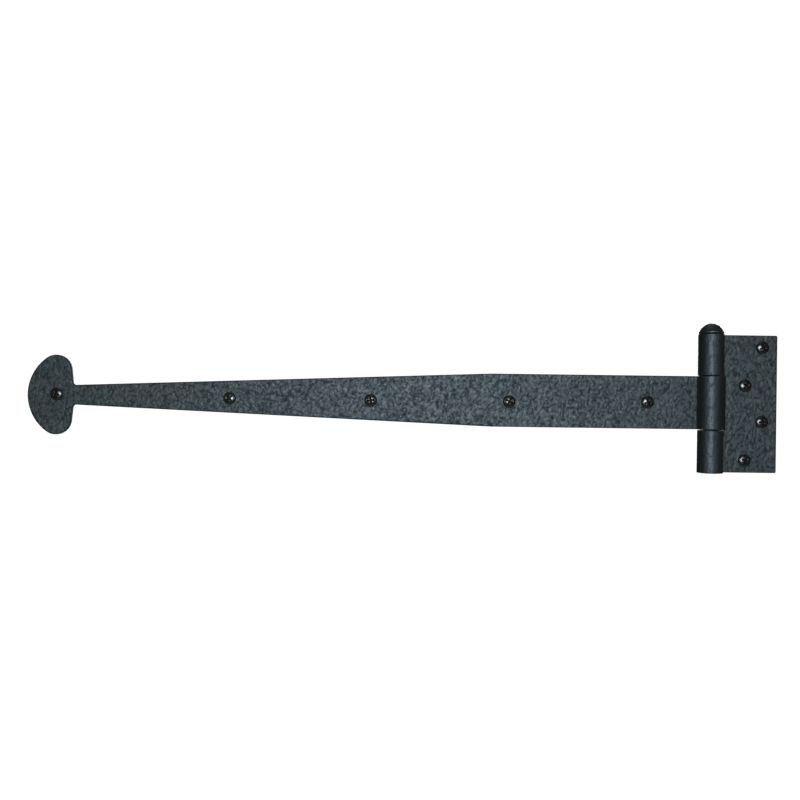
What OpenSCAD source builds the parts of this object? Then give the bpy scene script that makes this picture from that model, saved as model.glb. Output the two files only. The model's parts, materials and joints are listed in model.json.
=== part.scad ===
// Surface-mounted strap hinge with a bean-shaped end.
// A long tapered strap leaf and a rectangular butt leaf, both rolled from plate, turn on a loose
// hinge pin with a domed head. Nine pan-head wood screws sit in the leaves.
//
// Frame: +Z runs up along the pin, the fronts of the leaves face -Y and their flat backs lie on
// the plane y = 0. The origin is the centre of the butt leaf's back, and the strap runs to -X.
// Each leaf is drawn from the pin axis outwards and then moved to the pin.

/* [Plate] */
// Thickness of both leaves
plate_t = 4.3; // [3.5:0.1:4.8]
// Diameter of the screw holes
hole_d = 5.8; // [5.6:0.1:6.4]

/* [Strap leaf] */
// Length of the strap from the pin axis to the tip of the bean
strap_len = 502.7; // [490:0.1:620]
// Width of the parallel stretch beside the barrel
strap_w = 39.3; // [34:0.1:44]
// Length of the parallel stretch, from the pin axis
parallel_len = 160; // [120:1:180]
// Width of the neck behind the bean
neck_w = 14.4; // [12:0.1:18]
// Distance from the pin axis to the first strap screw
strap_screw_x = 44.9; // [36:0.1:50]
// Pitch of the four strap screws
strap_pitch = 102.5; // [90:0.5:105]
// Height of the strap's middle above the butt leaf's middle
strap_rise = 0.5; // [0:0.1:2]

/* [Bean end] */
// Height of the bean across the strap
bean_h = 59; // [52:0.2:62]
// Radius of the broad arc at the tip
tip_r = 33.5; // [32:0.5:38]
// Radius of the bean's two round corners
corner_r = 11.4; // [10:0.2:14]
// Distance from the tip to the bean's screw
bean_screw_x = 22.1; // [18:0.1:24]
// Lean of the bean's shoulders towards the neck, in degrees
shoulder_lean = 6; // [2:1:12]
// Radius of the fillets between the bean and the neck
neck_fillet_r = 2.2; // [1:0.1:4]

/* [Butt leaf] */
// Height of the butt leaf along the pin
butt_h = 101.6; // [96:0.1:130]
// Reach of the butt leaf from the pin axis to its outer edge
butt_reach = 51; // [46:0.5:70]
// Distance from the pin axis to the edge of the notch for the strap's knuckle
notch_reach = 12.9; // [12:0.1:16]
// Distance from the pin axis to the inner pair of butt screws
inner_screw_x = 27; // [24:0.2:28]
// Distance from the pin axis to the outer pair of butt screws
outer_screw_x = 39.4; // [36:0.2:40]
// Height difference from each butt screw to the next
butt_pitch = 27.8; // [24:0.2:28]

/* [Barrel] */
// Diameter of the hinge pin
pin_d = 9.8; // [8.5:0.1:10.5]
// Radial clearance between the pin and the knuckles
pin_gap = 0.05; // [0.03:0.01:0.09]
// Gap between the strap's knuckle and the upper knuckle
upper_gap = 0.2; // [0.1:0.1:1]
// Gap between the strap's knuckle and the lower knuckle
lower_gap = 0.4; // [0.1:0.1:1]
// Gap left where a rolled knuckle closes on its own leaf
seam_gap = 0.3; // [0.2:0.1:0.6]

/* [Pin head] */
// Diameter of the pin's head
head_d = 17.8; // [14:0.2:18.4]
// Height of the straight rim under the dome
rim_h = 1.6; // [1:0.1:2.4]
// Width of the ledge between the rim and the dome
rim_ledge = 0.2; // [0.1:0.1:0.5]
// Height of the dome above the rim
dome_h = 6.3; // [4:0.1:6.6]
// Chamfer under the rim of the head
head_chamfer = 1.1; // [0.3:0.1:1.4]
// Chamfer at the foot of the pin
foot_chamfer = 0.6; // [0.3:0.1:0.9]

/* [Screws] */
// Length of a screw under its head
screw_len = 31.7; // [26:0.1:36]
// Diameter of the plain shank behind the leaf, and of the thread
shank_d = 4.8; // [4.4:0.1:5]
// Diameter of the shoulder that fills the leaf's hole
shoulder_d = 5.3; // [5.2:0.1:5.4]
// Length of the plain shank behind the leaf
plain_len = 8; // [6:0.5:10]
// Diameter of the thread's root
root_d = 3.4; // [3:0.1:3.8]
// Pitch of the thread
thread_pitch = 1.95; // [1.6:0.05:2.4]
// Share of the pitch that each side of a thread's ridge takes
flank_share = 0.35; // [0.2:0.05:0.5]
// Length of the gimlet point
point_len = 4.5; // [3:0.1:6]
// Diameter of the pan head
screw_head_d = 9.3; // [8.6:0.1:10]
// Height of the pan head
screw_head_h = 2.9; // [2.5:0.1:3.4]
// Height of the straight edge of the pan head
screw_edge_h = 0.9; // [0.6:0.1:1.2]
// Width of the cross recess, tip to tip
recess_w = 6; // [4.4:0.1:6.4]
// Width of each arm of the recess
recess_arm = 1.5; // [1:0.1:1.6]
// Depth of the recess
recess_depth = 2.2; // [1.6:0.1:2.4]

/* [Hidden] */

$fn = 96;
eps = 0.01;
arc_steps = 24;
iron = [0.16, 0.18, 0.20];
pin_black = [0.12, 0.13, 0.14];
screw_black = [0.05, 0.05, 0.06];

// barrel
bore_r = pin_d / 2 + pin_gap;
barrel_r = bore_r + plate_t;
pin_x = -butt_reach / 2;
pin_y = -barrel_r;
roll_angle = 360 - acos((bore_r - seam_gap) / barrel_r);
notch_top = strap_rise + strap_w / 2 + upper_gap;
notch_foot = strap_rise - strap_w / 2 - lower_gap;

// bean, measured from the tip of the strap
lobe_z = bean_h / 2 - corner_r;
lobe_x = tip_r - sqrt(pow(tip_r - corner_r, 2) - pow(lobe_z, 2));
lobe_angle = atan2(lobe_z, lobe_x - tip_r);
bean_len = lobe_x + corner_r;
taper_angle = atan((strap_w - neck_w) / 2 / (strap_len - parallel_len - bean_len));
shoulder_n = [cos(shoulder_lean), sin(shoulder_lean)];
neck_n = [-sin(taper_angle), cos(taper_angle)];
shoulder_d0 = shoulder_n * [lobe_x, lobe_z] + corner_r + neck_fillet_r;
neck_d0 = neck_n * [bean_len, neck_w / 2] + neck_fillet_r;
fillet_c = meet(shoulder_n, shoulder_d0, neck_n, neck_d0);

// how far each screw hole strays along X and Z from its marked place, as they are punched by eye
strap_strays = [[0, 0], [0.5, -0.8], [0.9, -1.3], [-0.6, -1.1], [0, 0.4]];
butt_strays = [[0, 0], [0, -0.4], [0, 0.7], [0, 0]];

// screws, as distances from the pin axis and heights above the middle of their leaf
strap_marks = concat(
    [for (i = [0:3]) [-(strap_screw_x + i * strap_pitch), 0]],
    [[-(strap_len - bean_screw_x), 0]]
);
butt_marks = [
    for (i = [0:3]) [i % 2 == 0 ? outer_screw_x : inner_screw_x, (1.5 - i) * butt_pitch]
];
strap_screws = [for (i = [0:4]) strap_marks[i] + strap_strays[i]];
butt_screws = [for (i = [0:3]) butt_marks[i] + butt_strays[i]];
// turn of each screw's cross recess, in degrees, as hand-driven screws stop anywhere
strap_turns = [20, 65, 10, 40, 75];
butt_turns = [30, 55, 5, 70];
dome_r = cap_radius(head_d / 2 - rim_ledge, dome_h);
crown_h = screw_head_h - screw_edge_h;
crown_r = cap_radius(screw_head_d / 2, crown_h);
thread_turns = floor((screw_len - plate_t - plain_len - point_len) / thread_pitch);

// radius of the sphere whose cap has this base radius and height
function cap_radius(base_r, h) = (pow(base_r, 2) + pow(h, 2)) / (2 * h);

// point where the lines a * p = da and b * p = db cross
function meet(a, da, b, db) =
    [da * b[1] - db * a[1], a[0] * db - b[0] * da] / (a[0] * b[1] - a[1] * b[0]);

// points along an arc about c, from angle a0 to a1; first = 1 leaves out a start that is already drawn
function arc(c, r, a0, a1, first = 0) = [
    for (i = [first:arc_steps])
        let (a = a0 + (a1 - a0) * i / arc_steps) c + r * [cos(a), sin(a)]
];

// upper half of the strap's outline, from the tip to the pin axis
function strap_edge() = concat(
    arc([tip_r, 0], tip_r, 180, lobe_angle),
    arc([lobe_x, lobe_z], corner_r, lobe_angle, shoulder_lean, 1),
    arc(fillet_c, neck_fillet_r, 180 + shoulder_lean, 270 + taper_angle),
    [[strap_len - parallel_len, strap_w / 2], [strap_len, strap_w / 2]]
);

// the strap's outline, with the pin axis at the origin and the tip at -X
module strap_outline() {
    upper = strap_edge();
    lower = [for (i = [len(upper) - 1:-1:1]) [upper[i][0], -upper[i][1]]];
    translate([-strap_len, 0]) polygon(concat(upper, lower));
}

// stands an outline drawn in X and Z up as plate, with its back on the plane y = 0
module as_plate() {
    rotate([90, 0, 0]) linear_extrude(plate_t) children();
}

// a rolled knuckle about the pin axis: it leaves the back of a +X plate and closes on its front
module knuckle(z0, h) {
    translate([0, -barrel_r, z0])
        rotate([0, 0, 90])
            rotate_extrude(angle = roll_angle)
                translate([bore_r, 0]) square([plate_t, h]);
}

// a hole through a leaf at a distance from the pin axis and a height
module screw_hole(at) {
    translate([at[0], eps, at[1]])
        rotate([90, 0, 0]) cylinder(d = hole_d, h = plate_t + 2 * eps);
}

module strap_leaf() {
    color(iron) translate([pin_x, 0, strap_rise]) difference() {
        union() {
            as_plate() strap_outline();
            mirror([1, 0, 0]) knuckle(-strap_w / 2, strap_w);
        }
        for (at = strap_screws) screw_hole(at);
    }
}

module butt_leaf() {
    color(iron) translate([pin_x, 0, 0]) difference() {
        union() {
            as_plate() difference() {
                translate([0, -butt_h / 2]) square([butt_reach, butt_h]);
                translate([-eps, notch_foot]) square([notch_reach + eps, notch_top - notch_foot]);
            }
            knuckle(-butt_h / 2, notch_foot + butt_h / 2);
            knuckle(notch_top, butt_h / 2 - notch_top);
        }
        for (at = butt_screws) screw_hole(at);
    }
}

// the top of a sphere of radius r that stands h above z = 0
module cap(r, h) {
    intersection() {
        translate([0, 0, h - r]) sphere(r = r);
        cylinder(r = 2 * r, h = 2 * h);
    }
}

// half section of the pin's shaft and the rim of its head
module pin_section() {
    foot = -butt_h / 2 + foot_chamfer;
    seat = butt_h / 2;
    polygon([
        [0, foot],
        [pin_d / 2 - foot_chamfer, foot],
        [pin_d / 2, foot + foot_chamfer],
        [pin_d / 2, seat],
        [head_d / 2 - head_chamfer, seat],
        [head_d / 2, seat + head_chamfer],
        [head_d / 2, seat + rim_h],
        [0, seat + rim_h]
    ]);
}

module hinge_pin() {
    top = butt_h / 2 + rim_h;
    color(pin_black) translate([pin_x, pin_y, 0]) {
        rotate_extrude() pin_section();
        translate([0, 0, top]) cap(dome_r, dome_h);
    }
}

// root, crest and root of each ridge of the thread, down the side of the screw's half section
function thread_points() = [
    for (i = [0:thread_turns - 1], side = [-1:1])
        let (y = plate_t + plain_len + (i + 0.5 + side * flank_share) * thread_pitch)
        [side == 0 ? shank_d / 2 : root_d / 2, -y]
];

// half section of a screw without its crown, with the seat of its head at y = 0
module screw_section() {
    thread_start = -(plate_t + plain_len);
    polygon(concat(
        [
            [0, screw_edge_h],
            [screw_head_d / 2, screw_edge_h],
            [screw_head_d / 2, 0],
            [shoulder_d / 2, 0],
            [shoulder_d / 2, -plate_t],
            [shank_d / 2, -plate_t],
            [shank_d / 2, thread_start],
            [root_d / 2, thread_start]
        ],
        thread_points(),
        [[root_d / 2, -(screw_len - point_len)], [0, -screw_len]]
    ));
}

// a wood screw along Z, with the seat of its head at z = 0 and its point at -Z
module wood_screw(turn) {
    difference() {
        union() {
            rotate_extrude() screw_section();
            translate([0, 0, screw_edge_h]) cap(crown_r, crown_h);
        }
        for (a = [0, 90])
            rotate([0, 0, turn + a])
                translate([-recess_w / 2, -recess_arm / 2, screw_head_h - recess_depth])
                    cube([recess_w, recess_arm, recess_depth + eps]);
    }
}

// a screw seated on the front of a leaf
module seated_screw(at, z, turn) {
    color(screw_black)
        translate([pin_x + at[0], -plate_t, z + at[1]])
            rotate([90, 0, 0]) wood_screw(turn);
}

strap_leaf();
butt_leaf();
hinge_pin();
for (i = [0:4])
    seated_screw(strap_screws[i], strap_rise, strap_turns[i]);
for (i = [0:3])
    seated_screw(butt_screws[i], 0, butt_turns[i]);
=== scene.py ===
"""Shapes and finishes of a heavy strap hinge with a bean-shaped end.

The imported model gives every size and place. The two leaves are cut again from their blanks, with worn
edges and a hammered face, and the hinge pin and the nine wood screws are turned again with their fine
detail. Lengths are in metres, unless a name ends in _mm.
"""

import json
import logging
import math
from collections.abc import Callable, Mapping, Sequence
from dataclasses import dataclass, field
from enum import Enum
from typing import Any

import bmesh
import bpy
import numpy as np
from mathutils import Matrix, Vector


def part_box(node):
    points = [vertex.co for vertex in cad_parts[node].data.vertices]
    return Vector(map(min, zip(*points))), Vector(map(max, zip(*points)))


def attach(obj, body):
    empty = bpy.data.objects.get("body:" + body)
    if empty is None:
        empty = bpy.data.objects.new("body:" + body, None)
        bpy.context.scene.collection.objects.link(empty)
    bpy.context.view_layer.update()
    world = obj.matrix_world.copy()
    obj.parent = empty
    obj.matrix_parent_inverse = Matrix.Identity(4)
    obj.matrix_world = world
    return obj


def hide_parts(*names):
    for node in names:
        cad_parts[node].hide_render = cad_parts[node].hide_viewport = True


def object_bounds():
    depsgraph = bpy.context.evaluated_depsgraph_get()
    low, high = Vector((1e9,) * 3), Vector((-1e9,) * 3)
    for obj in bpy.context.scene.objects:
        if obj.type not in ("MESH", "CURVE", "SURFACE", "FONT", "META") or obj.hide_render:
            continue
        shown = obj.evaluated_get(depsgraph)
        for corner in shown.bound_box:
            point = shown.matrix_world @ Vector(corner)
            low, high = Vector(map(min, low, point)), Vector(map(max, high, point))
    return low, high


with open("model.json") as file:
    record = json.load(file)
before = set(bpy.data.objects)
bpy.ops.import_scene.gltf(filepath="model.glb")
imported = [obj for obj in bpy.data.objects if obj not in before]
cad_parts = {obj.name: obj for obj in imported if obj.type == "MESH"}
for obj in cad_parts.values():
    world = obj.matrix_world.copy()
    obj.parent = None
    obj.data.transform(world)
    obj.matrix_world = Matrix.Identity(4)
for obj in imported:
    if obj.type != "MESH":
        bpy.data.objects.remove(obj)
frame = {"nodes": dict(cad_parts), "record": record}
CAD_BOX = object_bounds()

MM = 0.001
TINY = 0.00001
PLATE_T = 4.3 * MM
SHARP_ANGLE = math.radians(30)

log = logging.getLogger("hinge")


class Slot(Enum):
    """The record's material slots."""

    IRON = "rough_iron"
    PIN = "pin_iron"
    SCREW = "screw_black"


# ---------------------------------------------------------------------------------------------
# Working by hand: selecting, finishing and turning
# ---------------------------------------------------------------------------------------------


def pick_only(piece: bpy.types.Object) -> None:
    """Selects one object, makes it active and deselects all others.

    Args:
        piece: The object to work on.
    """
    bpy.ops.object.select_all(action="DESELECT")
    piece.select_set(True)
    bpy.context.view_layer.objects.active = piece


def new_piece(name: str) -> bpy.types.Object:
    """Names the primitive that was just added.

    Args:
        name: The object's name, which its mesh takes too.

    Returns:
        The active object.
    """
    piece = bpy.context.active_object
    piece.name = name
    piece.data.name = name
    return piece


def settle(piece: bpy.types.Object) -> None:
    """Puts an object at the origin, unturned and unscaled, with its place in its mesh.

    Args:
        piece: The object to settle.
    """
    pick_only(piece)
    bpy.ops.object.transform_apply(location=True, rotation=True, scale=True)


def finish_with(piece: bpy.types.Object, kind: str, **settings: Any) -> None:
    """Adds a modifier, sets it and applies it.

    Args:
        piece: The object to change.
        kind: The modifier's type.
        **settings: The modifier's settings.
    """
    pick_only(piece)
    modifier = piece.modifiers.new(kind.title(), kind)
    for name, value in settings.items():
        setattr(modifier, name, value)
    bpy.ops.object.modifier_apply(modifier=modifier.name)


def pick_edges(piece: bpy.types.Object, wanted: Callable[[bmesh.types.BMEdge], bool]) -> None:
    """Selects edges of the mesh in edit mode.

    Args:
        piece: The object in edit mode.
        wanted: Says whether an edge is wanted.
    """
    bpy.ops.mesh.select_mode(type="EDGE")
    bpy.ops.mesh.select_all(action="DESELECT")
    mesh = bmesh.from_edit_mesh(piece.data)
    for edge in mesh.edges:
        edge.select = wanted(edge)
    mesh.select_flush_mode()
    bmesh.update_edit_mesh(piece.data)


def middle(edge: bmesh.types.BMEdge) -> Vector:
    """Returns the middle of an edge."""
    return (edge.verts[0].co + edge.verts[1].co) / 2


def close_ends() -> None:
    """Closes the open ends of the mesh in edit mode, turns its faces outwards and leaves edit mode."""
    bpy.ops.mesh.select_all(action="SELECT")
    bpy.ops.mesh.fill_holes(sides=0)
    bpy.ops.mesh.select_all(action="SELECT")
    bpy.ops.mesh.normals_make_consistent(inside=False)
    bpy.ops.object.mode_set(mode="OBJECT")


def copy_object(source: bpy.types.Object, name: str) -> bpy.types.Object:
    """Copies an object with its own mesh and links it to the scene.

    Args:
        source: The object to copy.
        name: The copy's name, which its mesh takes too.

    Returns:
        The copy.
    """
    piece = source.copy()
    piece.data = source.data.copy()
    piece.name = name
    piece.data.name = name
    piece.parent = None
    bpy.context.scene.collection.objects.link(piece)
    return piece


def turned(name: str, rings: Sequence[tuple[float, float]], facets: int) -> bpy.types.Object:
    """Makes a closed solid round Z, one ring after another, as on a lathe.

    Args:
        name: The new object's name.
        rings: Radius and height of each ring.
        facets: Number of facets round the axis.

    Returns:
        The turned object, at the origin.
    """
    radius, height = rings[0]
    bpy.ops.object.select_all(action="DESELECT")
    bpy.ops.mesh.primitive_circle_add(vertices=facets, radius=radius, location=(0, 0, height))
    piece = new_piece(name)
    bpy.ops.object.mode_set(mode="EDIT")
    bpy.ops.mesh.select_mode(type="EDGE")
    bpy.ops.mesh.select_all(action="SELECT")
    for next_radius, next_height in rings[1:]:
        step = (0, 0, next_height - height)
        ratio = next_radius / radius
        bpy.ops.mesh.extrude_region_move(TRANSFORM_OT_translate={"value": step})
        bpy.ops.transform.resize(value=(ratio, ratio, 1), center_override=(0, 0, next_height))
        radius, height = next_radius, next_height
    close_ends()
    settle(piece)
    return piece


def arc_rings(
    centre: tuple[float, float], radii: tuple[float, float], start: float, end: float, steps: int
) -> list[tuple[float, float]]:
    """Rings along an elliptic arc in the half section of a turned solid.

    Args:
        centre: Radius and height of the arc's centre.
        radii: The arc's radii, outwards and upwards.
        start: Angle of its first point above the outward direction, in degrees.
        end: Angle of its last point, in degrees.
        steps: Number of steps between them.

    Returns:
        Radius and height of each ring.
    """
    angles = [math.radians(start + (end - start) * i / steps) for i in range(steps + 1)]
    return [(centre[0] + radii[0] * math.cos(a), centre[1] + radii[1] * math.sin(a)) for a in angles]


def shade(piece: bpy.types.Object, sharp_above: float) -> None:
    """Shades a piece smooth, except at edges sharper than an angle.

    Args:
        piece: The object to shade.
        sharp_above: The angle in degrees.
    """
    pick_only(piece)
    bpy.ops.object.shade_smooth_by_angle(angle=math.radians(sharp_above))


def mesh_points(piece: bpy.types.Object) -> np.ndarray:
    """Returns the places of a mesh's vertices, one row for each."""
    points = np.zeros(len(piece.data.vertices) * 3, np.float32)
    piece.data.vertices.foreach_get("co", points)
    return points.reshape(-1, 3)


def mesh_normals(piece: bpy.types.Object) -> np.ndarray:
    """Returns the normals of a mesh's vertices, one row for each."""
    normals = np.zeros(len(piece.data.vertices) * 3, np.float32)
    piece.data.vertices.foreach_get("normal", normals)
    return normals.reshape(-1, 3)


def ease(low: float, high: float, value: np.ndarray) -> np.ndarray:
    """Rises smoothly from 0 at low to 1 at high.

    Args:
        low: Where it starts to rise, or to fall if it is above high.
        high: Where it reaches 1.
        value: The values to ease.

    Returns:
        An eased value for each.
    """
    share = np.clip((value - low) / (high - low), 0, 1)
    return share * share * (3 - 2 * share)


def weight_group(piece: bpy.types.Object, name: str, weights: np.ndarray, levels: int = 16) -> None:
    """Makes a vertex group from a weight for each vertex.

    Args:
        piece: The object.
        name: The group's name.
        weights: A weight from 0 to 1 for each vertex.
        levels: Number of steps that the weights are rounded to.
    """
    group = piece.vertex_groups.new(name=name)
    rounded = np.round(weights * levels).astype(int)
    for level in range(1, levels + 1):
        members = np.nonzero(rounded == level)[0].tolist()
        if members:
            group.add(members, level / levels, "REPLACE")


# ---------------------------------------------------------------------------------------------
# Finishes
# ---------------------------------------------------------------------------------------------


def linear(colour: str) -> tuple[float, float, float, float]:
    """Turns an sRGB hex colour to linear RGBA.

    Args:
        colour: Six hex digits.

    Returns:
        Linear red, green, blue and full alpha.
    """
    parts = [int(colour[i : i + 2], 16) / 255 for i in (0, 2, 4)]
    red, green, blue = (p / 12.92 if p <= 0.04045 else ((p + 0.055) / 1.055) ** 2.4 for p in parts)
    return (red, green, blue, 1)


def add_node(
    owner: bpy.types.Material | bpy.types.World,
    kind: str,
    inputs: Mapping[str, Any] | None = None,
    **settings: Any,
) -> bpy.types.Node:
    """Adds a shader node with its settings and links.

    Args:
        owner: The material, or the scene's surroundings, that the node is for.
        kind: The node's type.
        inputs: A value or another node's output for each named input.
        **settings: The node's own settings.

    Returns:
        The new node.
    """
    tree = owner.node_tree
    node = tree.nodes.new(kind)
    for name, value in settings.items():
        setattr(node, name, value)
    for name, value in (inputs or {}).items():
        if isinstance(value, bpy.types.NodeSocket):
            tree.links.new(value, node.inputs[name])
        else:
            node.inputs[name].default_value = value
    return node


def empty_material(name: str) -> bpy.types.Material:
    """Returns a new material whose nodes have been cleared."""
    material = bpy.data.materials.new(name)
    material.use_nodes = True
    material.node_tree.nodes.clear()
    return material


def close_material(material: bpy.types.Material, inputs: Mapping[str, Any]) -> bpy.types.Material:
    """Ends a material in a Principled shader and an output.

    Args:
        material: The material.
        inputs: The shader's inputs.

    Returns:
        The same material.
    """
    shader = add_node(material, "ShaderNodeBsdfPrincipled", inputs)
    add_node(material, "ShaderNodeOutputMaterial", {"Surface": shader.outputs["BSDF"]})
    return material


@dataclass(frozen=True)
class HammeredIron:
    """Black powder coat over forged iron: nearly black, with a broad blue-grey sheen towards a light.

    The coat is rubbed paler on the crests. The hollows are rougher, and darker with painted shade, as are
    the plate's sides and the ends of the knuckles. The rolled knuckles are smoother, and darker than the
    faces as painted shade on the barrel's flanks. The coat's own orange peel is finer than can show, so it
    is drawn a little coarser.

    Args:
        name: The material's name.
        crest: Colour of the face where it is rubbed most.
        cloud: Colour of the face where it is rubbed least.
        crease_shade: Colour of the painted shade in the hollows, on the plate's sides and at the knuckles'
            ends.
        knuckle: Colour of the knuckles, darker than the faces' as painted shade on the barrel's flanks.
        sheen: Tint of the shine.
        face_roughness: Roughness of the face.
        crease_roughness: Roughness in the hollows.
        knuckle_roughness: Roughness of the knuckles.
        grit: How far the face's roughness varies to either side.
        peel_mm: Size of the orange peel.
        peel_lift_mm: Height of the orange peel.
        cloud_mm: Size of the rubbed patches.
        cloud_span: Where in the patches' pattern the rubbing starts and is full.
        peel_span: Where in the orange peel the roughness is least and most.
        knuckle_y_mm: Place along Y in front of which the iron is finished as a knuckle.
        face_y_mm: Place along Y behind which it is finished as a face.
    """

    name: str = "black_powder_coat_on_hammered_iron"
    crest: str = "333b37"
    cloud: str = "0a0d0b"
    crease_shade: str = "040504"
    knuckle: str = "0b0e0c"
    sheen: str = "dcefff"
    face_roughness: float = 0.525
    crease_roughness: float = 0.8
    knuckle_roughness: float = 0.475
    grit: float = 0.09
    peel_mm: float = 1.6
    peel_lift_mm: float = 0.25
    cloud_mm: float = 5
    cloud_span: tuple[float, float] = (0.3, 0.7)
    peel_span: tuple[float, float] = (0.36, 0.64)
    knuckle_y_mm: float = -5.6
    face_y_mm: float = -4.6

    def make(self) -> bpy.types.Material:
        """Builds the material."""
        material = empty_material(self.name)
        place = add_node(material, "ShaderNodeTexCoord").outputs["Object"]
        # This attribute carries painted shade: darker in the creases, on the plate's sides and at the
        # knuckles' ends.
        hollow_shade = add_node(material, "ShaderNodeAttribute", attribute_name=RolledLeaf.HOLLOW_SHADE).outputs["Fac"]
        front = add_node(material, "ShaderNodeSeparateXYZ", {"Vector": place}).outputs["Y"]
        on_face = add_node(
            material,
            "ShaderNodeMapRange",
            {"Value": front, "From Min": self.knuckle_y_mm * MM, "From Max": self.face_y_mm * MM},
        ).outputs["Result"]
        peel = add_node(
            material,
            "ShaderNodeTexNoise",
            {"Vector": place, "Scale": 1 / (self.peel_mm * MM), "Detail": 2.0, "Roughness": 0.5},
        ).outputs["Fac"]
        bump = add_node(
            material,
            "ShaderNodeBump",
            {"Height": peel, "Distance": self.peel_lift_mm * MM, "Strength": 1.0},
        )
        return close_material(
            material,
            {
                "Base Color": self.coat_colour(material, place, on_face, hollow_shade),
                "Roughness": self.coat_roughness(material, peel, on_face, hollow_shade),
                "Normal": bump.outputs["Normal"],
                "IOR": 1.5,
                "Metallic": 0.0,
                "Specular Tint": linear(self.sheen),
            },
        )

    def coat_colour(
        self,
        material: bpy.types.Material,
        place: bpy.types.NodeSocket,
        on_face: bpy.types.NodeSocket,
        hollow_shade: bpy.types.NodeSocket,
    ) -> bpy.types.NodeSocket:
        """Colours the face in rubbed patches and the knuckles plain, and paints shade: the knuckles darker
        than the faces, and the hollows, the plate's sides and the knuckles' ends dark.

        Args:
            material: The material.
            place: The point on the piece.
            on_face: 0 on a knuckle and 1 on the face.
            hollow_shade: How deep in the hollows the point is, from 0 to 1, which sets its painted shade.

        Returns:
            The colour.
        """
        cloud = add_node(
            material,
            "ShaderNodeTexNoise",
            {"Vector": place, "Scale": 1 / (self.cloud_mm * MM), "Detail": 3.0, "Roughness": 0.6},
        )
        least, most = self.cloud_span
        rubbed = add_node(
            material,
            "ShaderNodeMapRange",
            {"Value": cloud.outputs["Fac"], "From Min": least, "From Max": most},
        )
        face = add_node(
            material,
            "ShaderNodeMix",
            {"Factor": rubbed.outputs["Result"], "A": linear(self.cloud), "B": linear(self.crest)},
            data_type="RGBA",
        )
        # Painted shade: the knuckles take a darker colour than the faces, for the shade on the barrel's
        # flanks.
        raised = add_node(
            material,
            "ShaderNodeMix",
            {"Factor": on_face, "A": linear(self.knuckle), "B": face.outputs["Result"]},
            data_type="RGBA",
        )
        # Painted shade: the colour darkens to near black in the creases, on the plate's sides and at the
        # knuckles' ends.
        colour = add_node(
            material,
            "ShaderNodeMix",
            {"Factor": hollow_shade, "A": raised.outputs["Result"], "B": linear(self.crease_shade)},
            data_type="RGBA",
        )
        return colour.outputs["Result"]

    def coat_roughness(
        self,
        material: bpy.types.Material,
        peel: bpy.types.NodeSocket,
        on_face: bpy.types.NodeSocket,
        hollow_shade: bpy.types.NodeSocket,
    ) -> bpy.types.NodeSocket:
        """Makes the face's roughness vary with the orange peel, and the hollows rough.

        Args:
            material: The material.
            peel: Height of the orange peel.
            on_face: 0 on a knuckle and 1 on the face.
            hollow_shade: How deep in the hollows the point is, from 0 to 1, which also sets its painted
                shade.

        Returns:
            The roughness.
        """
        low, high = self.peel_span
        face = add_node(
            material,
            "ShaderNodeMapRange",
            {
                "Value": peel,
                "From Min": low,
                "From Max": high,
                "To Min": self.face_roughness - self.grit,
                "To Max": self.face_roughness + self.grit,
            },
        )
        crest = add_node(
            material,
            "ShaderNodeMapRange",
            {"Value": on_face, "To Min": self.knuckle_roughness, "To Max": face.outputs["Result"]},
        )
        rough = add_node(
            material,
            "ShaderNodeMapRange",
            {"Value": hollow_shade, "To Min": crest.outputs["Result"], "To Max": self.crease_roughness},
        )
        return rough.outputs["Result"]


@dataclass(frozen=True)
class SatinBlack:
    """Black enamel on turned steel: smooth, with a narrow soft highlight and faint turning marks.

    Args:
        name: The material's name.
        colour: Its colour.
        roughness: Its roughness.
        gloss: Strength of its shine, 0.5 for plain enamel.
        mark_mm: Size of the turning marks.
        mark_lift_mm: Height of the turning marks.
    """

    name: str
    colour: str
    roughness: float
    gloss: float = 0.5
    mark_mm: float = 0.35
    mark_lift_mm: float = 0.004

    def make(self) -> bpy.types.Material:
        """Builds the material."""
        material = empty_material(self.name)
        place = add_node(material, "ShaderNodeTexCoord").outputs["Object"]
        marks = add_node(
            material,
            "ShaderNodeTexNoise",
            {"Vector": place, "Scale": 1 / (self.mark_mm * MM), "Detail": 2.0},
        )
        bump = add_node(
            material,
            "ShaderNodeBump",
            {"Height": marks.outputs["Fac"], "Distance": self.mark_lift_mm * MM, "Strength": 1.0},
        )
        return close_material(
            material,
            {
                "Base Color": linear(self.colour),
                "Roughness": self.roughness,
                "Normal": bump.outputs["Normal"],
                "IOR": 1.5,
                "Specular IOR Level": self.gloss,
                "Metallic": 0.0,
            },
        )


@dataclass(frozen=True)
class PaleFloor:
    """Matt white studio board: plain, with no shine, and evenly lit where the camera sees it.

    Args:
        name: The material's name.
        colour: Its colour.
        glow: Colour that the camera sees evenly over it.
        roughness: Its roughness.
    """

    name: str = "matt_white_board"
    colour: str = "f2f2f0"
    glow: str = "ecedec"
    roughness: float = 0.9

    def make(self) -> bpy.types.Material:
        """Builds the material."""
        material = empty_material(self.name)
        seen = add_node(material, "ShaderNodeLightPath").outputs["Is Camera Ray"]
        return close_material(
            material,
            {
                "Base Color": linear(self.colour),
                "Roughness": self.roughness,
                "Emission Color": linear(self.glow),
                "Emission Strength": seen,
            },
        )


# ---------------------------------------------------------------------------------------------
# Leaves
# ---------------------------------------------------------------------------------------------


@dataclass(frozen=True)
class Barrel:
    """The barrel that the knuckles make about the hinge pin.

    Args:
        axis_x: Place of the pin's axis along X.
        axis_y: Place of the pin's axis along Y.
        outer_r: Outer radius of the knuckles.
    """

    axis_x: float
    axis_y: float
    outer_r: float

    def off_axis(self, point: Vector) -> float:
        """Returns the distance of one point from the pin's axis."""
        return math.hypot(point.x - self.axis_x, point.y - self.axis_y)

    def reach(self, points: np.ndarray) -> np.ndarray:
        """Returns the distance of each point from the pin's axis."""
        return np.hypot(points[:, 0] - self.axis_x, points[:, 1] - self.axis_y)


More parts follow.
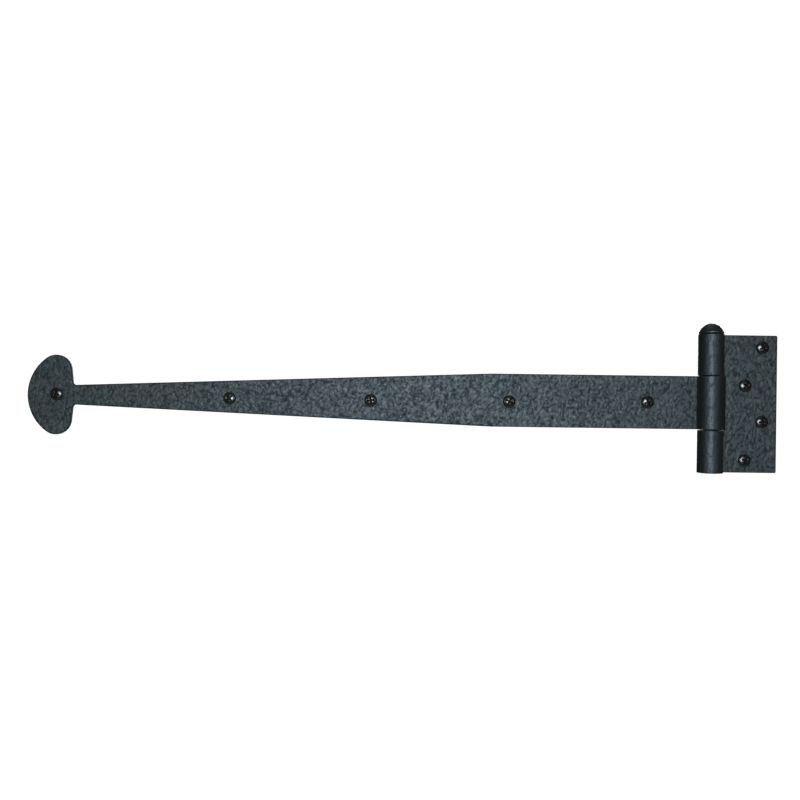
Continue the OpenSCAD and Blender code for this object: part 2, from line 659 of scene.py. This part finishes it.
@dataclass(frozen=True)
class Hammering:
    """How deep and how coarse a leaf's face is worked.

    Args:
        dish_mm: Size of the broad shallow dishes.
        dish_depth_mm: Depth of the dishes.
        dent_mm: Size of the small dents.
        dent_depth_mm: Depth of the dents.
        crease_mm: Spacing of the creases between them.
        crease_depth_mm: Depth of the creases.
        crease_share: Share of the pattern's height that the creases' sides take.
        stretch: Stretch of the pattern up the leaf.
        lean: Lean of the pattern, in radians.
        knuckle_dent_cut: How many times shallower the dents are on the knuckles.
        knuckle_crease_cut: How many times shallower the creases are on the knuckles.
        knuckle_stretch: Stretch of the pattern along the knuckles.
    """

    dish_mm: float = 11
    dish_depth_mm: float = 0.25
    dent_mm: float = 2.3
    dent_depth_mm: float = 0.6
    crease_mm: float = 4.2
    crease_depth_mm: float = 0.36
    crease_share: float = 0.18
    stretch: float = 1.15
    lean: float = 0.12
    knuckle_dent_cut: float = 3
    knuckle_crease_cut: float = 6
    knuckle_stretch: float = 3


@dataclass
class RolledLeaf:
    """A leaf cut and rolled from plate, with worn edges and a hammered face.

    Args:
        node: The CAD node that it replaces.
        body: The body that it rides on.
        screws: The CAD nodes of the screws in it.
        barrel: The barrel that its knuckles are rolled to.
        hammering: How its face is worked.
        notch: Reach from the pin's axis and half height of the leaf's notch, with some room.
        worn_r: Radius of the worn edges all round the plate.
        fine_r: Radius of the edges at the screw holes, the knuckles' ends and the notch.
        roll_end_r: Radius of the outer edge where the roll closes.
        roll_end_length: Least length of that edge.
        roll_end_room: How far off the knuckles' outside that edge may be.
        knuckle_room: How far off the knuckles' outside the edges at their ends may be.
        behind_room: Depth of the hidden strip in front of the plate, beside the knuckles.
        grain: Size of the mesh's facets.
        hole_reach: Reach of a screw hole's edge from its middle, with some room.
        head_reach: Reach of a screw's head from its middle, with some room.
        knuckle_depth: Depth below the knuckles' outside down to which a point is on a knuckle.
        facing_span: How squarely the surface faces the front where hammering starts and is full.
        side_span: How squarely it faces the front where the coat is plain and where the painted shade is
            full.
        end_span: How squarely a knuckle's surface faces up or down where it turns from plain to painted
            shade.
        dent_span: Share of a dent's depth where its painted shade and roughness start and where they are
            full.
        dent_weight: How much painted shade and roughness the bottom of a dent takes.
        crease_weight: How much painted shade and roughness the creases take at the bottom.
        knuckle_crease_weight: The same for the creases on a knuckle.
    """

    # Name of the attribute that carries painted shade, and roughness, into the coat.
    HOLLOW_SHADE = "hollow_shade"
    FACE_GROUP = "face"
    KNUCKLE_GROUP = "knuckle"

    node: str
    body: str
    screws: Sequence[str]
    barrel: Barrel
    hammering: Hammering
    notch: tuple[float, float] = (0, 0)
    worn_r: float = 1.0 * MM
    fine_r: float = 0.3 * MM
    roll_end_r: float = 1.2 * MM
    roll_end_length: float = 10 * MM
    roll_end_room: float = 0.1 * MM
    knuckle_room: float = 0.05 * MM
    behind_room: float = 0.5 * MM
    grain: float = 0.6 * MM
    hole_reach: float = 3.2 * MM
    head_reach: float = 4.9 * MM
    knuckle_depth: float = 1.2 * MM
    facing_span: tuple[float, float] = (0.2, 0.8)
    side_span: tuple[float, float] = (0.92, 0.6)
    end_span: tuple[float, float] = (0.15, 0.3)
    dent_span: tuple[float, float] = (0.4, 0.7)
    dent_weight: float = 0.35
    crease_weight: float = 1.1
    knuckle_crease_weight: float = 4
    screw_places: list[tuple[float, float]] = field(init=False)
    piece: bpy.types.Object = field(init=False)

    def __post_init__(self) -> None:
        """Finds X and Z of each screw in the leaf."""
        boxes = [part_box(screw) for screw in self.screws]
        self.screw_places = [((low.x + high.x) / 2, (low.z + high.z) / 2) for low, high in boxes]

    def build(self, finish: bpy.types.Material) -> bpy.types.Object:
        """Makes the leaf, dresses it and hands it to its body.

        Args:
            finish: The leaf's material.

        Returns:
            The leaf.
        """
        blank = self.cut_blank()
        self.wear_edges(blank)
        self.piece = self.reskin(blank)
        bpy.data.objects.remove(blank)
        self.hammer()
        pick_only(self.piece)
        bpy.ops.object.shade_smooth()
        self.piece.data.materials.clear()
        self.piece.data.materials.append(finish)
        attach(self.piece, self.body)
        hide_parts(self.node)
        return self.piece

    def cut_blank(self) -> bpy.types.Object:
        """Copies the CAD leaf and merges its loose triangles into plain faces.

        Returns:
            The blank.
        """
        blank = copy_object(frame["nodes"][self.node], self.node + "_blank")
        pick_only(blank)
        bpy.ops.object.mode_set(mode="EDIT")
        bpy.ops.mesh.select_all(action="SELECT")
        bpy.ops.mesh.remove_doubles(threshold=TINY)
        bpy.ops.mesh.dissolve_limited(angle_limit=math.radians(1))
        bpy.ops.object.mode_set(mode="OBJECT")
        return blank

    def wear_edges(self, blank: bpy.types.Object) -> None:
        """Rounds the blank's edges: most at the roll's end, least at holes and knuckle ends.

        Args:
            blank: The blank.
        """
        pick_only(blank)
        bpy.ops.object.mode_set(mode="EDIT")
        pick_edges(blank, self.is_sharp)
        bpy.ops.transform.edge_bevelweight(value=self.worn_r / self.roll_end_r)
        pick_edges(blank, lambda edge: self.is_sharp(edge) and self.is_fine(edge))
        bpy.ops.transform.edge_bevelweight(value=(self.fine_r - self.worn_r) / self.roll_end_r)
        pick_edges(blank, lambda edge: self.is_sharp(edge) and self.is_roll_end(edge))
        bpy.ops.transform.edge_bevelweight(value=1)
        bpy.ops.object.mode_set(mode="OBJECT")
        finish_with(
            blank,
            "BEVEL",
            limit_method="WEIGHT",
            width=self.roll_end_r,
            segments=3,
            use_clamp_overlap=False,
        )

    @staticmethod
    def is_sharp(edge: bmesh.types.BMEdge) -> bool:
        """Says whether two faces meet at an edge at a sharp angle."""
        return len(edge.link_faces) == 2 and edge.calc_face_angle() > SHARP_ANGLE

    def is_roll_end(self, edge: bmesh.types.BMEdge) -> bool:
        """Says whether an edge is the outer one where the roll closes on the leaf."""
        a, b = (v.co for v in edge.verts)
        upright = abs(a.z - b.z) > self.roll_end_length and abs(a.x - b.x) < TINY
        outside = abs(self.barrel.off_axis(a) - self.barrel.outer_r) < self.roll_end_room
        return upright and outside and a.y > self.barrel.axis_y

    def is_fine(self, edge: bmesh.types.BMEdge) -> bool:
        """Says whether an edge is at a screw hole, at the end of a knuckle or round the notch."""
        at = middle(edge)
        reach, half_height = self.notch
        at_hole = any(math.hypot(at.x - x, at.z - z) < self.hole_reach for x, z in self.screw_places)
        at_notch = abs(at.x - self.barrel.axis_x) < reach and abs(at.z) < half_height
        at_knuckle = self.barrel.off_axis(at) < self.barrel.outer_r + self.knuckle_room
        return at_hole or at_notch or at_knuckle

    def reskin(self, blank: bpy.types.Object) -> bpy.types.Object:
        """Covers the blank with an even skin of small facets, fine enough to hammer.

        Args:
            blank: The blank with its worn edges.

        Returns:
            The new leaf.
        """
        leaf = copy_object(blank, self.node + "_forged")
        finish_with(leaf, "REMESH", mode="VOXEL", voxel_size=self.grain)
        finish_with(leaf, "SHRINKWRAP", target=blank, wrap_method="NEAREST_SURFACEPOINT")
        return leaf

    def hammer(self) -> None:
        """Sinks dishes, dents and creases into the leaf's front and knuckles, all inside its CAD box."""
        plain_normals = mesh_normals(self.piece)
        on_knuckle = self.pick_worked(plain_normals)
        work = self.hammering
        face, knuckle = self.FACE_GROUP, self.KNUCKLE_GROUP
        self.sink(face, work.dish_mm, work.dish_depth_mm, work.stretch, creased=False)
        dished = mesh_points(self.piece)
        self.sink(face, work.dent_mm, work.dent_depth_mm, work.stretch, creased=False)
        knuckle_dent = work.dent_depth_mm / work.knuckle_dent_cut
        self.sink(knuckle, work.dent_mm, knuckle_dent, work.knuckle_stretch, creased=False)
        dented = mesh_points(self.piece)
        self.sink(face, work.crease_mm, work.crease_depth_mm, work.stretch, creased=True)
        knuckle_crease = work.crease_depth_mm / work.knuckle_crease_cut
        self.sink(knuckle, work.crease_mm, knuckle_crease, work.knuckle_stretch, creased=True)
        creased = mesh_points(self.piece)
        in_dent = np.linalg.norm(dented - dished, axis=1) / (work.dent_depth_mm * MM)
        in_crease = np.linalg.norm(creased - dented, axis=1) / (work.crease_depth_mm * MM)
        self.mark_hollow_shade(in_dent, in_crease, on_knuckle, plain_normals)
        low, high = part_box(self.node)
        trimmed = np.clip(creased, np.array(low), np.array(high)).astype(np.float32)
        self.piece.data.vertices.foreach_set("co", trimmed.ravel())

    def pick_worked(self, normals: np.ndarray) -> np.ndarray:
        """Groups the vertices that are worked: the front, clear of the screws, and the knuckles.

        Args:
            normals: The normal at each vertex.

        Returns:
            True for each vertex on a knuckle.
        """
        points = mesh_points(self.piece)
        off_axis = self.barrel.reach(points)
        in_front = points[:, 1] < -PLATE_T - TINY
        on_knuckle = (off_axis > self.barrel.outer_r - self.knuckle_depth) & in_front
        facing = ease(*self.facing_span, -normals[:, 1])
        for x, z in self.screw_places:
            away = np.hypot(points[:, 0] - x, points[:, 2] - z)
            facing *= ease(self.hole_reach, self.head_reach, away)
        near_plate = points[:, 1] > -PLATE_T - self.behind_room
        facing[near_plate & (off_axis < self.barrel.outer_r)] = 0
        weight_group(self.piece, self.FACE_GROUP, np.where(on_knuckle, 0.0, facing))
        weight_group(self.piece, self.KNUCKLE_GROUP, np.where(on_knuckle, 1.0, 0.0))
        return on_knuckle

    def mark_hollow_shade(
        self, in_dent: np.ndarray, in_crease: np.ndarray, on_knuckle: np.ndarray, normals: np.ndarray
    ) -> None:
        """Notes how much painted shade each vertex takes, for the coat: full in the creases and on the
        plate's sides.

        Args:
            in_dent: Share of a dent's full depth at each vertex.
            in_crease: Share of the creases' full depth at each vertex.
            on_knuckle: True for each vertex on a knuckle.
            normals: The normal at each vertex before the surface was worked.
        """
        # Painted shade: in the dents and creases, on the plate's sides turned from the front, and at the
        # knuckles' ends.
        side = ease(*self.side_span, -normals[:, 1])
        hollow_shade = ease(*self.dent_span, in_dent) * self.dent_weight + in_crease * self.crease_weight + side
        end = ease(*self.end_span, np.abs(normals[on_knuckle, 2]))
        hollow_shade[on_knuckle] = in_crease[on_knuckle] * self.knuckle_crease_weight + end
        attribute = self.piece.data.attributes.new(self.HOLLOW_SHADE, "FLOAT", "POINT")
        attribute.data.foreach_set("value", np.clip(hollow_shade, 0, 1))

    def sink(self, group: str, size_mm: float, depth_mm: float, stretch: float, creased: bool) -> None:
        """Pushes part of the surface inwards by a cloudy pattern.

        Args:
            group: The vertex group that is worked.
            size_mm: Size of the pattern.
            depth_mm: Depth of its deepest points.
            stretch: Stretch of the pattern along Z.
            creased: True for narrow creases, False for rounded dishes and dents.
        """
        pattern = bpy.data.textures.new(group + "_pattern", "CLOUDS")
        pattern.noise_scale = size_mm * MM
        pattern.noise_depth = 1 if creased else 2
        pattern.noise_basis = "IMPROVED_PERLIN"
        pattern.noise_type = "HARD_NOISE" if creased else "SOFT_NOISE"
        if creased:
            pattern.use_color_ramp = True
            bottom, side = pattern.color_ramp.elements
            bottom.color = (0, 0, 0, 1)
            side.color = (1, 1, 1, 1)
            side.position = self.hammering.crease_share
            pattern.color_ramp.interpolation = "EASE"
        bpy.ops.object.select_all(action="DESELECT")
        bpy.ops.object.empty_add(rotation=(0, self.hammering.lean, 0))
        guide = bpy.context.active_object
        guide.scale = (1, 1, stretch)
        finish_with(
            self.piece,
            "DISPLACE",
            texture=pattern,
            texture_coords="OBJECT",
            texture_coords_object=guide,
            strength=depth_mm * MM,
            mid_level=1,
            direction="NORMAL",
            vertex_group=group,
        )
        bpy.data.objects.remove(guide)
        bpy.data.textures.remove(pattern)


# ---------------------------------------------------------------------------------------------
# Pin
# ---------------------------------------------------------------------------------------------


@dataclass
class HingePin:
    """The loose pin: a plain shaft under a domed head with a rounded rim.

    Args:
        node: The CAD node that it replaces.
        body: The body that it rides on.
        shaft_r: Radius of the shaft.
        rim_h: Height of the rim under the dome.
        dome_h: Height of the dome.
        ledge: Width of the ledge between the rim and the dome.
        chamfer: Chamfer at the foot.
        under_r: Radius of the edge under the rim.
        over_r: Radius of the rim's upper edge.
        facets: Number of facets round it.
        sharp_above: Angle in degrees above which an edge stays sharp.
    """

    node: str = "hinge_pin"
    body: str = "pin"
    shaft_r: float = 4.9 * MM
    rim_h: float = 1.6 * MM
    dome_h: float = 6.3 * MM
    ledge: float = 0.15 * MM
    chamfer: float = 0.6 * MM
    under_r: float = 1.25 * MM
    over_r: float = 0.25 * MM
    facets: int = 96
    sharp_above: float = 40

    def build(self, finish: bpy.types.Material) -> bpy.types.Object:
        """Turns the pin, dresses it and hands it to its body.

        Args:
            finish: The pin's material.

        Returns:
            The pin.
        """
        low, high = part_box(self.node)
        head_r = (high.x - low.x) / 2
        seat = high.z - self.rim_h - self.dome_h
        rings = self.shaft_rings(low.z, seat) + self.head_rings(seat, head_r, high.z)
        pin = turned(self.node + "_turned", rings, self.facets)
        pin.location = ((low.x + high.x) / 2, (low.y + high.y) / 2, 0)
        settle(pin)
        shade(pin, self.sharp_above)
        pin.data.materials.append(finish)
        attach(pin, self.body)
        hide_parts(self.node)
        return pin

    def shaft_rings(self, foot: float, seat: float) -> list[tuple[float, float]]:
        """Rings of the shaft, from its foot up to the head's seat.

        Args:
            foot: Height of the foot.
            seat: Height of the head's seat.

        Returns:
            Radius and height of each ring.
        """
        # The chamfer's two edges are broken a little, by the shares of it that stand here.
        return [
            (self.shaft_r - 1.4 * self.chamfer, foot),
            (self.shaft_r - self.chamfer, foot + 0.1 * self.chamfer),
            (self.shaft_r - 0.1 * self.chamfer, foot + 0.9 * self.chamfer),
            (self.shaft_r, foot + 1.3 * self.chamfer),
            (self.shaft_r, seat),
        ]

    def head_rings(self, seat: float, head_r: float, top: float) -> list[tuple[float, float]]:
        """Rings of the head, from its seat over the rim to the top of the dome.

        Args:
            seat: Height of the head's seat.
            head_r: Radius of the head.
            top: Height of the top of the dome.

        Returns:
            Radius and height of each ring.
        """
        under, over = self.under_r, self.over_r
        rim_top = seat + self.rim_h
        base_r = head_r - over - self.ledge
        dome_r = (base_r**2 + self.dome_h**2) / (2 * self.dome_h)
        base_angle = math.degrees(math.asin((dome_r - self.dome_h) / dome_r))
        return [
            *arc_rings((head_r - under, seat + under), (under, under), -90, 0, 8),
            *arc_rings((head_r - over, rim_top - over), (over, over), 0, 90, 5),
            *arc_rings((0, top - dome_r), (dome_r, dome_r), base_angle, 88, 26),
        ]


# ---------------------------------------------------------------------------------------------
# Screws
# ---------------------------------------------------------------------------------------------


@dataclass
class WoodScrews:
    """Pan-head wood screws with a cross recess, modelled once and copied to every place.

    Args:
        turns: Turn of the recess of each screw, in degrees, by the name of its CAD node.
        bodies: The body that each CAD node rides on, by its name.
        head_r: Radius of the head.
        head_h: Height of the head.
        edge_h: Height of the head's plain edge.
        edge_r: Radius under that edge.
        shoulder_r: Radius of the shoulder in the leaf's hole.
        shank_r: Radius of the plain shank, and of the thread's crest.
        root_r: Radius of the thread's root.
        shank_taper: Length over which the shank narrows to the root.
        plain_len: Length of the plain shank behind the leaf.
        point_len: Length of the point.
        point_waist: Share of the root's radius that is left half way along the point.
        length: Length under the head.
        pitch: Pitch of the thread.
        thread_lead: How far below the plain shank the thread starts, in pitches.
        thread_stop: How far above the tip it ends, in pitches.
        thread_least: Share of its radius that is left at the tip.
        tip_r: Radius of the tip.
        recess_w: Width of the recess from arm to arm, just above the crown.
        recess_arm: Width of an arm, just above the crown.
        recess_depth: Depth of the recess.
        recess_foot: Shares of the two widths that are left at the foot of the recess.
        recess_reach: Reach of the recess from the screw's axis, with some room.
        recess_sink: Depth below the crown at which a face counts as inside the recess and takes the
            painted shade.
        middle_top_r: Radius of the pyramid in the middle of the recess, at its top.
        middle_foot_r: Radius of the pyramid at its foot.
        worn_w: Width of the worn edges of the recess.
        facets: Number of facets round the screw.
        sharp_above: Angle in degrees above which an edge stays sharp.
    """

    turns: Mapping[str, float]
    bodies: Mapping[str, str]
    head_r: float = 4.65 * MM
    head_h: float = 2.9 * MM
    edge_h: float = 0.9 * MM
    edge_r: float = 0.2 * MM
    shoulder_r: float = 2.65 * MM
    shank_r: float = 2.4 * MM
    root_r: float = 1.7 * MM
    shank_taper: float = 0.7 * MM
    plain_len: float = 8 * MM
    point_len: float = 4.5 * MM
    point_waist: float = 0.55
    length: float = 31.7 * MM
    pitch: float = 1.95 * MM
    thread_lead: float = 0.6
    thread_stop: float = 0.9
    thread_least: float = 0.08
    tip_r: float = 0.05 * MM
    recess_w: float = 7.7 * MM
    recess_arm: float = 1.7 * MM
    recess_depth: float = 2.2 * MM
    recess_foot: tuple[float, float] = (0.35, 0.5)
    recess_reach: float = 3.7 * MM
    recess_sink: float = 0.12 * MM
    middle_top_r: float = 2.0 * MM
    middle_foot_r: float = 0.2 * MM
    worn_w: float = 0.07 * MM
    facets: int = 64
    sharp_above: float = 40

    def build(
        self, finish: bpy.types.Material, recess_shade_finish: bpy.types.Material
    ) -> list[bpy.types.Object]:
        """Makes one screw and copies it to every place.

        Args:
            finish: The screws' material.
            recess_shade_finish: The material inside the recess.

        Returns:
            The screws.
        """
        master = self.turn_body()
        self.cut_recess(master)
        finish_with(
            master,
            "BEVEL",
            limit_method="ANGLE",
            angle_limit=math.radians(35),
            width=self.worn_w,
            segments=2,
        )
        self.add_thread(master)
        shade(master, self.sharp_above)
        master.data.materials.append(finish)
        # The second material is darker and rougher: painted shade inside the recess.
        master.data.materials.append(recess_shade_finish)
        self.paint_recess_shade(master)
        screws = [self.place(master, node, turn) for node, turn in self.turns.items()]
        bpy.data.objects.remove(master)
        return screws

    def turn_body(self) -> bpy.types.Object:
        """Turns the screw's core from its point up to the top of its crown.

        Returns:
            The core, with the seat of its head at z = 0.
        """
        shank_end = -PLATE_T - self.plain_len
        edge_radii = (self.edge_r, self.edge_r)
        seat_edge = arc_rings((self.head_r - self.edge_r, self.edge_r), edge_radii, -90, 0, 4)
        crown = arc_rings((0, self.edge_h), (self.head_r, self.head_h - self.edge_h), 3, 87, 18)
        rings = [
            (self.tip_r, -self.length),
            (self.root_r * self.point_waist, -self.length + self.point_len / 2),
            (self.root_r, -self.length + self.point_len),
            (self.root_r, shank_end - self.shank_taper),
            (self.shank_r, shank_end),
            (self.shank_r, -PLATE_T),
            (self.shoulder_r, -PLATE_T),
            (self.shoulder_r, 0),
        ]
        return turned("wood_screw", rings + seat_edge + crown, self.facets)

    def cut_recess(self, core: bpy.types.Object) -> None:
        """Cuts the cross recess: two tapered arms and a pyramid between them.

        Args:
            core: The screw's core.
        """
        for quarter in (0, 90):
            self.cut_with(core, self.arm_cutter(quarter))
        bpy.ops.object.select_all(action="DESELECT")
        bpy.ops.mesh.primitive_cone_add(
            vertices=4,
            radius1=self.middle_foot_r,
            radius2=self.middle_top_r,
            depth=self.recess_depth,
            location=(0, 0, self.head_h - self.recess_depth / 2),
        )
        self.cut_with(core, new_piece("recess_middle"))

    def arm_cutter(self, quarter: float) -> bpy.types.Object:
        """Makes the cutter for one pair of arms of the recess, narrower at its foot.

        Args:
            quarter: Turn of the arms, in degrees.

        Returns:
            The cutter.
        """
        top_spare = 0.4 * MM
        height = self.recess_depth + top_spare
        bpy.ops.object.select_all(action="DESELECT")
        bpy.ops.mesh.primitive_cube_add(size=1, location=(0, 0, self.head_h + top_spare - height / 2))
        cutter = new_piece("recess_arms")
        cutter.scale = (self.recess_w, self.recess_arm, height)
        settle(cutter)
        foot = min(v.co.z for v in cutter.data.vertices)
        bpy.ops.object.mode_set(mode="EDIT")
        pick_edges(cutter, lambda edge: middle(edge).z < foot + TINY)
        bpy.ops.transform.resize(value=(*self.recess_foot, 1), center_override=(0, 0, foot))
        bpy.ops.object.mode_set(mode="OBJECT")
        cutter.rotation_euler.z = math.radians(quarter)
        settle(cutter)
        return cutter

    def cut_with(self, core: bpy.types.Object, cutter: bpy.types.Object) -> None:
        """Cuts the core with a cutter and throws the cutter away.

        Args:
            core: The screw's core.
            cutter: The cutter.
        """
        finish_with(core, "BOOLEAN", operation="DIFFERENCE", object=cutter, solver="EXACT")
        bpy.data.objects.remove(cutter)

    def paint_recess_shade(self, core: bpy.types.Object) -> None:
        """Gives the faces inside the recess the second material, darker and rougher: painted shade in the
        recess.

        Args:
            core: The screw's core, with both materials.
        """
        for face in core.data.polygons:
            off_axis = math.hypot(face.center.x, face.center.y)
            if off_axis < self.recess_reach and face.center.z > self.edge_h / 2:
                rise = math.sqrt(1 - (off_axis / self.head_r) ** 2)
                crown_z = self.edge_h + (self.head_h - self.edge_h) * rise
                face.material_index = int(face.center.z < crown_z - self.recess_sink)

    def add_thread(self, core: bpy.types.Object) -> None:
        """Winds the thread's ridge round the core, down to the point.

        Args:
            core: The screw's core.
        """
        start = -PLATE_T - self.plain_len - self.thread_lead * self.pitch
        end = -self.length + self.thread_stop * self.pitch
        turns = math.floor((start - end) / self.pitch)
        ridge_h = self.shank_r - self.root_r
        bpy.ops.object.select_all(action="DESELECT")
        foot = (self.root_r, 0, start)
        bpy.ops.mesh.primitive_circle_add(
            vertices=3, radius=ridge_h, location=foot, rotation=(math.pi / 2, 0, 0)
        )
        ridge = new_piece("thread")
        settle(ridge)
        bpy.ops.object.mode_set(mode="EDIT")
        bpy.ops.mesh.select_all(action="SELECT")
        bpy.ops.transform.rotate(value=-math.pi / 2, orient_axis="Y", center_override=foot)
        bpy.ops.object.mode_set(mode="OBJECT")
        finish_with(
            ridge,
            "SCREW",
            axis="Z",
            angle=math.tau,
            screw_offset=-self.pitch,
            iterations=turns,
            steps=24,
            render_steps=24,
        )
        pick_only(ridge)
        bpy.ops.object.mode_set(mode="EDIT")
        close_ends()
        points = mesh_points(ridge)
        share = np.clip((points[:, 2] + self.length) / self.point_len, self.thread_least, 1)
        points[:, 0] *= share
        points[:, 1] *= share
        ridge.data.vertices.foreach_set("co", points.ravel())
        pick_only(core)
        ridge.select_set(True)
        bpy.ops.object.join()

    def place(self, master: bpy.types.Object, node: str, turn: float) -> bpy.types.Object:
        """Copies the screw to the place of a CAD screw and hands it to its body.

        Args:
            master: The modelled screw.
            node: The CAD screw's node.
            turn: Turn of its recess, in degrees.

        Returns:
            The new screw.
        """
        low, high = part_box(node)
        seat = Vector(((low.x + high.x) / 2, high.y - self.length, (low.z + high.z) / 2))
        screw = copy_object(master, node + "_detailed")
        stand = Matrix.Rotation(math.pi / 2, 4, "X") @ Matrix.Rotation(math.radians(turn), 4, "Z")
        screw.data.transform(Matrix.Translation(seat) @ stand)
        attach(screw, self.bodies[node])
        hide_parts(node)
        return screw


# ---------------------------------------------------------------------------------------------
# Studio
# ---------------------------------------------------------------------------------------------


@dataclass(frozen=True)
class SoftLight:
    """A square soft light that faces a point.

    Args:
        name: The light's name.
        place: Where it stands.
        aim: The point that it faces.
        size: Its side.
        power: Its power in watts.
        tint: Its colour, as an sRGB hex value.
    """

    name: str
    place: Vector
    aim: Vector
    size: float
    power: float
    tint: str = "ffffff"

    def hang(self) -> None:
        """Adds the light to the scene."""
        turn = (self.place - self.aim).to_track_quat("Z", "Y").to_euler()
        bpy.ops.object.select_all(action="DESELECT")
        bpy.ops.object.light_add(type="AREA", location=self.place, rotation=turn)
        light = bpy.context.active_object
        light.name = self.name
        light.data.shape = "SQUARE"
        light.data.size = self.size
        light.data.energy = self.power
        light.data.color = linear(self.tint)[:3]
        light.visible_camera = False


@dataclass(frozen=True)
class Studio:
    """Plain floor, soft lights and a camera square on to the leaves.

    Args:
        lens: Focal length in millimetres.
        sensor: Width of the sensor in millimetres.
        stand_off: Distance of the camera from the fronts of the leaves.
        left_of_pin: Distance of the camera to the left of the pin's axis.
        below_middle: Distance of the camera below the middle of the strap.
        roll: Roll of the camera, in degrees.
        floor_drop: Distance of the floor below the hinge.
        floor_size: Side of the floor.
        room: Linear colour of the dim light that the surroundings give.
        backdrop: Linear colour of the surroundings that the camera sees.
    """

    lens: float = 37.8
    sensor: float = 36
    stand_off: float = 620 * MM
    left_of_pin: float = 227.4 * MM
    below_middle: float = 0.8 * MM
    roll: float = 0.74
    floor_drop: float = 1.3
    floor_size: float = 4.0
    room: tuple[float, float, float, float] = (0.07, 0.074, 0.068, 1)
    backdrop: tuple[float, float, float, float] = (1.05, 1.05, 1.05, 1)

    def set_up(self, barrel: Barrel, front: float, middle_z: float) -> None:
        """Makes the camera, the floor, the lights and the surroundings.

        Args:
            barrel: The hinge's barrel.
            front: Place of the leaves' fronts along Y.
            middle_z: Height of the middle of the strap.
        """
        across = barrel.axis_x - self.left_of_pin
        eye = Vector((across, front - self.stand_off, middle_z - self.below_middle))
        self.add_camera(eye)
        self.add_floor()
        self.add_lights(eye)
        self.add_surroundings()

    def add_camera(self, eye: Vector) -> None:
        """Adds the camera, level and square on, with its small roll.

        Args:
            eye: Where the camera stands.
        """
        look = Matrix.Rotation(math.pi / 2, 3, "X") @ Matrix.Rotation(math.radians(self.roll), 3, "Z")
        bpy.ops.object.select_all(action="DESELECT")
        bpy.ops.object.camera_add(location=eye, rotation=look.to_euler())
        camera = bpy.context.active_object
        camera.name = "camera"
        camera.data.lens = self.lens
        camera.data.sensor_width = self.sensor
        camera.data.clip_start = 0.01
        bpy.context.scene.camera = camera

    def add_floor(self) -> None:
        """Adds the pale floor, well below the hinge, as below a hung door's hinge."""
        low, high = CAD_BOX
        centre = (low + high) / 2
        bpy.ops.object.select_all(action="DESELECT")
        bpy.ops.mesh.primitive_plane_add(
            size=self.floor_size, location=(centre.x, centre.y, low.z - self.floor_drop)
        )
        floor = new_piece("floor")
        settle(floor)
        floor.data.materials.append(PaleFloor().make())

    def add_lights(self, eye: Vector) -> None:
        """Hangs the key light just behind the camera and the other lights round the hinge.

        Args:
            eye: Where the camera stands.
        """
        low, high = CAD_BOX
        centre = (low + high) / 2
        key_place, key_aim = eye + Vector((0.03, -0.12, 0.05)), eye + Vector((0.03, 1, 0))
        lights = [
            SoftLight("key", key_place, key_aim, size=0.34, power=7.5, tint="f2f8ff"),
            SoftLight("left_spark", eye + Vector((-0.62, 0.02, 0.05)), centre, size=0.12, power=0.5),
            SoftLight("right_spark", eye + Vector((0.62, 0.02, 0.05)), centre, size=0.12, power=0.5),
            SoftLight("top_fill", centre + Vector((0, 0.1, 1.6)), centre, size=1.2, power=3.0),
            SoftLight("back", centre + Vector((0.66, 1.2, 0.2)), centre, size=0.7, power=16.0),
        ]
        for light in lights:
            light.hang()

    def add_surroundings(self) -> None:
        """Sets a white backdrop that only dimly lights the hinge, and plain tone mapping."""
        scene = bpy.context.scene
        world = bpy.data.worlds.new("studio")
        world.use_nodes = True
        scene.world = world
        world.node_tree.nodes.clear()
        seen = add_node(world, "ShaderNodeLightPath").outputs["Is Camera Ray"]
        colours = {"Factor": seen, "A": self.room, "B": self.backdrop}
        tint = add_node(world, "ShaderNodeMix", colours, data_type="RGBA")
        sky = add_node(world, "ShaderNodeBackground", {"Color": tint.outputs["Result"]})
        add_node(world, "ShaderNodeOutputWorld", {"Surface": sky.outputs["Background"]})
        scene.view_settings.view_transform = "Standard"


def main() -> None:
    """Builds the hinge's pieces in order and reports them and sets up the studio."""
    logging.basicConfig(level=logging.INFO, format="%(name)s: %(message)s")
    bodies = {n: b for b, nodes in frame["record"]["behaviour"]["bodies"].items() for n in nodes}
    pin_low, pin_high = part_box("hinge_pin")
    strap_low, strap_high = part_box("strap_leaf")
    barrel = Barrel(
        axis_x=(pin_low.x + pin_high.x) / 2,
        axis_y=(pin_low.y + pin_high.y) / 2,
        outer_r=(strap_high.y - strap_low.y) / 2,
    )
    strap_turns = {f"strap_screw_{i}": turn for i, turn in enumerate((20, 65, 10, 40, 75), start=1)}
    butt_turns = {f"butt_screw_{i}": turn for i, turn in enumerate((30, 55, 5, 70), start=1)}
    upright = Hammering(stretch=1.5)
    notch = (14.5 * MM, 21.5 * MM)
    iron = HammeredIron().make()
    satin = SatinBlack("satin_black_enamel_on_steel", colour="101314", roughness=0.4).make()
    enamel = SatinBlack("gloss_black_enamel_on_steel", colour="050706", roughness=0.27, gloss=0.8).make()
    # Darker and rougher black for inside the screws' recesses: painted shade.
    recess_shade = SatinBlack("painted_shade_black_in_recess", colour="020302", roughness=0.7, gloss=0.2).make()
    pieces = [
        RolledLeaf("strap_leaf", "strap", list(strap_turns), barrel, Hammering()).build(iron),
        RolledLeaf("butt_leaf", "butt", list(butt_turns), barrel, upright, notch).build(iron),
        HingePin().build(satin),
        *WoodScrews({**strap_turns, **butt_turns}, bodies).build(enamel, recess_shade),
    ]
    for piece in pieces:
        log.info("%s: %d faces", piece.name, len(piece.data.polygons))
    Studio().set_up(barrel, front=-PLATE_T, middle_z=(strap_low.z + strap_high.z) / 2)


if __name__ == "__main__":
    main()
